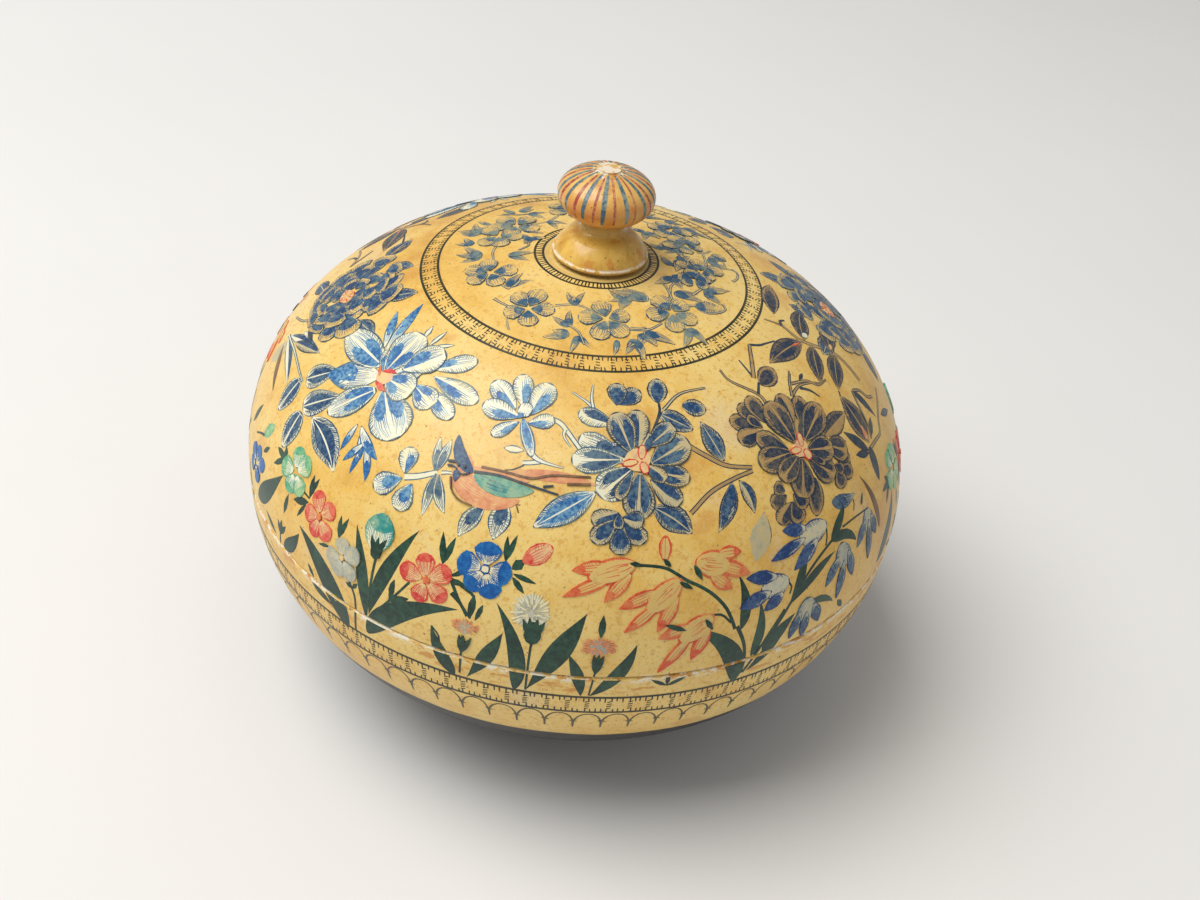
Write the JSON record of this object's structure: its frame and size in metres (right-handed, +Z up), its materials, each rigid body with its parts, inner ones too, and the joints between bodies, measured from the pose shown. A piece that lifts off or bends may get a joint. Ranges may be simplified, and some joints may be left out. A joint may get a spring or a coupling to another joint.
{
  "type": "papier mache box with lid",
  "caption": "Round papier-mache box: a hand-painted, lacquered dome lid with a turned wooden knob lifts off a bowl with a fitting collar.",
  "frame": {"origin": "centre of the flat underside, on the box's axis", "axes": "+Z up along the box's axis through the knob; -Y is the side that faces the viewer"},
  "size_m": [0.147, 0.147, 0.1209],
  "materials": {
    "lid_shell": "pressed papier mache, hand-painted with flowers and birds on yellow ochre, gloss lacquer",
    "knob": "turned softwood, painted in radial stripes over ochre, gloss lacquer",
    "backing_board": "pressed board painted black like the inside of the lid",
    "bowl_shell": "pressed papier mache, painted yellow ochre above and black below and inside, gloss lacquer",
    "fitting_collar": "strip of board bent to a ring, painted black, worn to brown board on its edge"
  },
  "bodies": {
    "bowl": {"bowl_shell": "bowl_shell", "fitting_collar": "fitting_collar"},
    "lid": {"lid_shell": "lid_shell", "knob": "knob", "knob_backing_disc": "backing_board"}
  },
  "joints": [
    {"name": "lid_lift", "type": "slide", "parent": "bowl", "child": "lid", "axis": [0, 0, 1], "range_m": [0, 0.08]}
  ]
}
